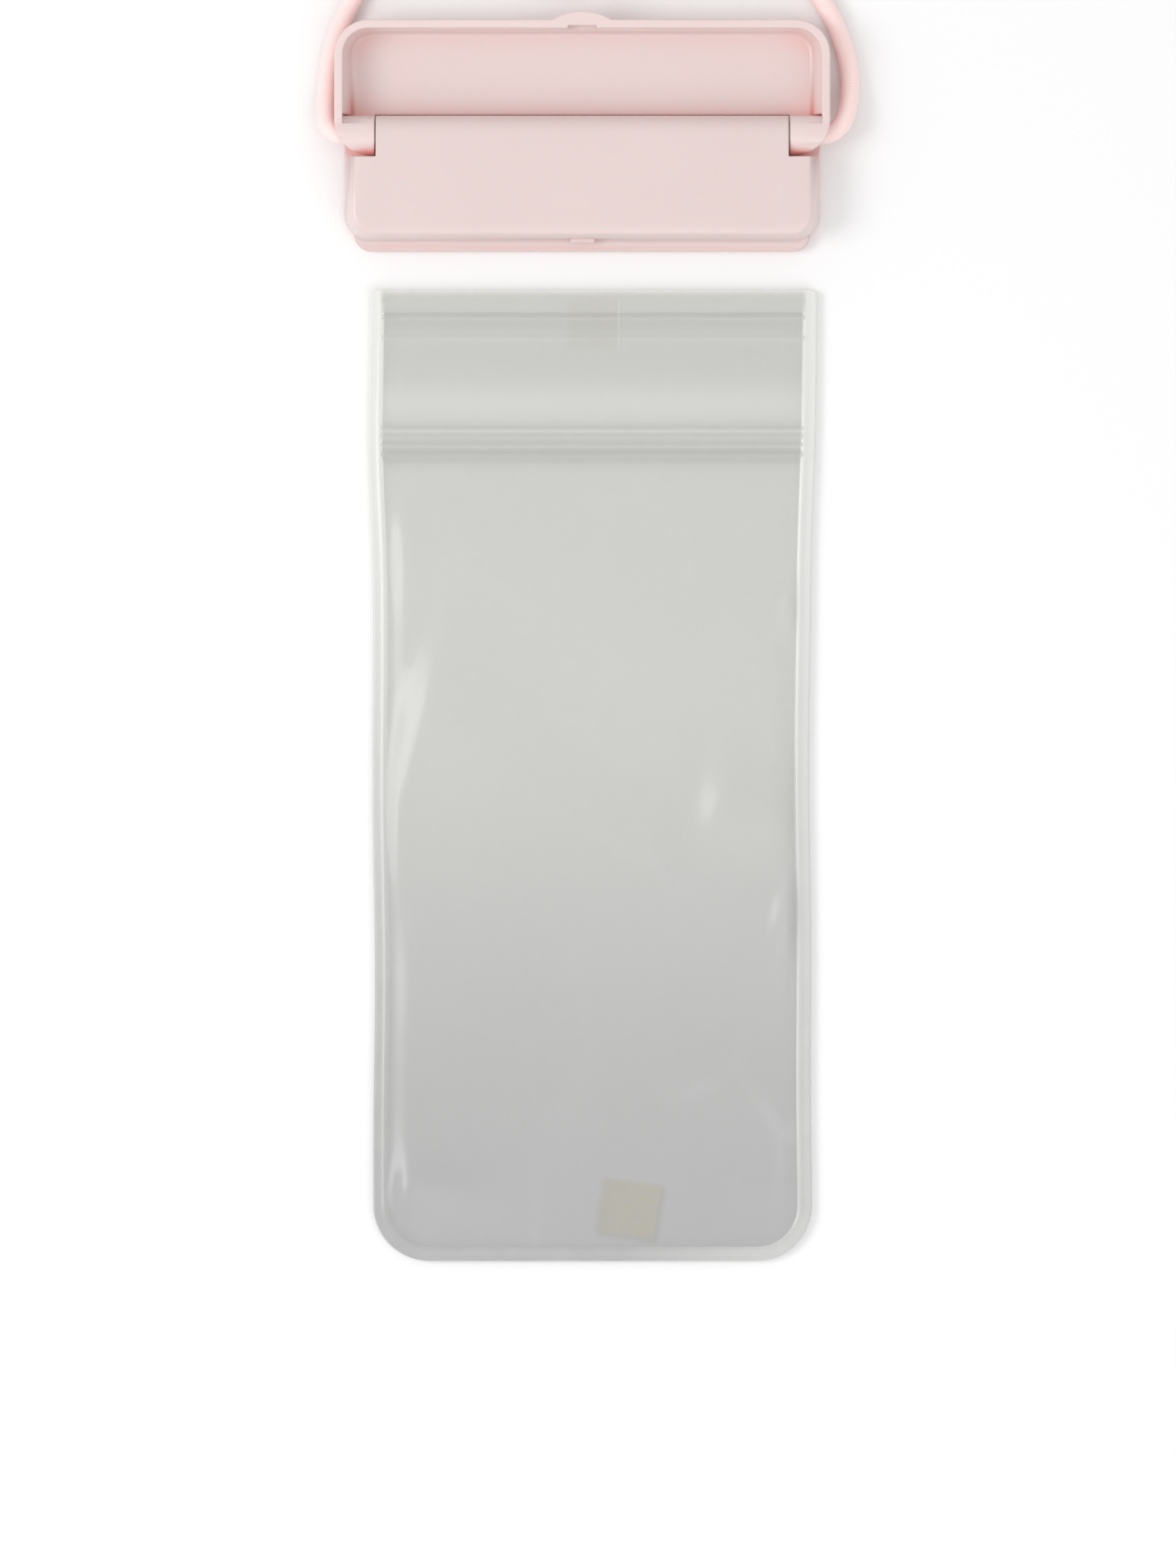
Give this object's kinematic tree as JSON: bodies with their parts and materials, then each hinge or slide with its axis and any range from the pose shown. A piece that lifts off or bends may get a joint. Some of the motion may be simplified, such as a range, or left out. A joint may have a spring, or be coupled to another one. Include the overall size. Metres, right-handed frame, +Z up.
{
  "type": "waterproof phone pouch",
  "caption": "Clear welded bag with a press seal at its mouth, beside the hinged clip on a neck cord that folds shut over that mouth, laid out open.",
  "frame": {"origin": "on the surface it lies on, under the middle of the clip and bag as laid out, without the free cord", "axes": "+X along the hinge, +Y from the bag towards the clip and the cord, +Z up"},
  "size_m": [0.1327, 0.3787, 0.0122],
  "materials": {
    "clip_plastic": "satin moulded pale pink",
    "clear_film": "glossy soft clear film",
    "weld_plastic": "glossy thick clear weld",
    "seal_plastic": "glossy clear extrusion",
    "cord_weave": "braided pale pink",
    "tie_fabric": "woven pale pink"
  },
  "bodies": {
    "base_body": {"clip_base": "clip_plastic", "cord_in_hinge": "cord_weave", "bag_back_film": "clear_film", "bag_front_film": "clear_film", "bag_weld_rim": "weld_plastic", "seal_jaw_strip": "seal_plastic", "seal_rib_strip": "seal_plastic", "neck_cord_left": "cord_weave", "neck_cord_right": "cord_weave", "neck_cord_coil": "cord_weave", "coil_tie": "tie_fabric"},
    "lid_body": {"clip_lid": "clip_plastic"}
  },
  "joints": [
    {"name": "lid_hinge", "type": "hinge", "parent": "base_body", "child": "lid_body", "pos_m": [0, 0.12165, 0.0074], "axis": [1, 0, 0], "range_deg": [0, 180]}
  ]
}
